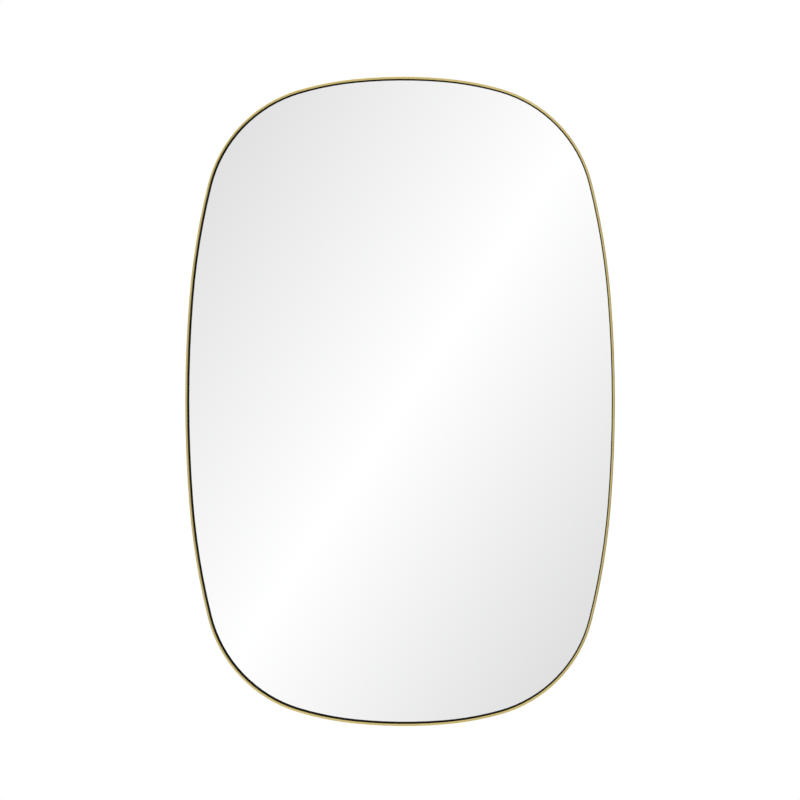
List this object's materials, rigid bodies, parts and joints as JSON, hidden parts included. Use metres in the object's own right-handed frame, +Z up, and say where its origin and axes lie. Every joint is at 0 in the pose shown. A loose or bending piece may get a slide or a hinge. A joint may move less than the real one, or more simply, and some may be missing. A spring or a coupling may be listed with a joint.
{
  "type": "wall mirror",
  "caption": "Tall rounded wall mirror: recessed silvered glass in a thin brass-finished band with a black inner line, D ring hangers and rubber bumpers behind.",
  "frame": {"origin": "the centre of the frame's back edge, on the wall plane", "axes": "+Y into the wall, so the glass faces -Y; +Z up the long way; +X to the right as seen from the front"},
  "size_m": [0.61, 0.032, 0.92],
  "materials": {
    "brass_band": "satin",
    "tab_steel": "satin",
    "black_liner": "matte",
    "mirror_glass": "polished",
    "foam_tape": "matte",
    "fibreboard": "matte",
    "zinc_steel": "satin",
    "bumper_rubber": "matte"
  },
  "bodies": {
    "mirror": {"backing_board": "fibreboard", "bumper_screws": "zinc_steel", "edge_liner": "black_liner", "frame_band": "brass_band", "hanger_screws": "zinc_steel", "hanger_strap_side_high": "zinc_steel", "hanger_strap_side_low": "zinc_steel", "hanger_strap_upper_left": "zinc_steel", "hanger_strap_upper_right": "zinc_steel", "mirror_pane": "mirror_glass", "retaining_tab_bottom_left": "tab_steel", "retaining_tab_bottom_right": "tab_steel", "retaining_tab_left_high": "tab_steel", "retaining_tab_left_low": "tab_steel", "retaining_tab_left_middle": "tab_steel", "retaining_tab_right_high": "tab_steel", "retaining_tab_right_low": "tab_steel", "retaining_tab_right_middle": "tab_steel", "retaining_tab_top_left": "tab_steel", "retaining_tab_top_right": "tab_steel", "tab_screws": "zinc_steel", "tape_strip_1": "foam_tape", "tape_strip_2": "foam_tape", "tape_strip_3": "foam_tape", "tape_strip_4": "foam_tape", "wall_bumper_lower_left": "bumper_rubber", "wall_bumper_lower_right": "bumper_rubber", "wall_bumper_upper_left": "bumper_rubber", "wall_bumper_upper_right": "bumper_rubber"},
    "ring_upper_left": {"d_ring_upper_left": "zinc_steel"},
    "ring_upper_right": {"d_ring_upper_right": "zinc_steel"},
    "ring_side_high": {"d_ring_side_high": "zinc_steel"},
    "ring_side_low": {"d_ring_side_low": "zinc_steel"}
  },
  "joints": [
    {"name": "ring_upper_left_swing", "type": "hinge", "parent": "mirror", "child": "ring_upper_left", "pos_m": [-0.16, -0.00724, 0.3], "axis": [1, 0, 0], "range_deg": [0, 180]},
    {"name": "ring_upper_right_swing", "type": "hinge", "parent": "mirror", "child": "ring_upper_right", "pos_m": [0.16, -0.00724, 0.3], "axis": [1, 0, 0], "range_deg": [0, 180]},
    {"name": "ring_side_high_swing", "type": "hinge", "parent": "mirror", "child": "ring_side_high", "pos_m": [-0.235, -0.00724, 0.2], "axis": [0, 0, 1], "range_deg": [0, 180]},
    {"name": "ring_side_low_swing", "type": "hinge", "parent": "mirror", "child": "ring_side_low", "pos_m": [-0.235, -0.00724, -0.2], "axis": [0, 0, 1], "range_deg": [0, 180]}
  ]
}
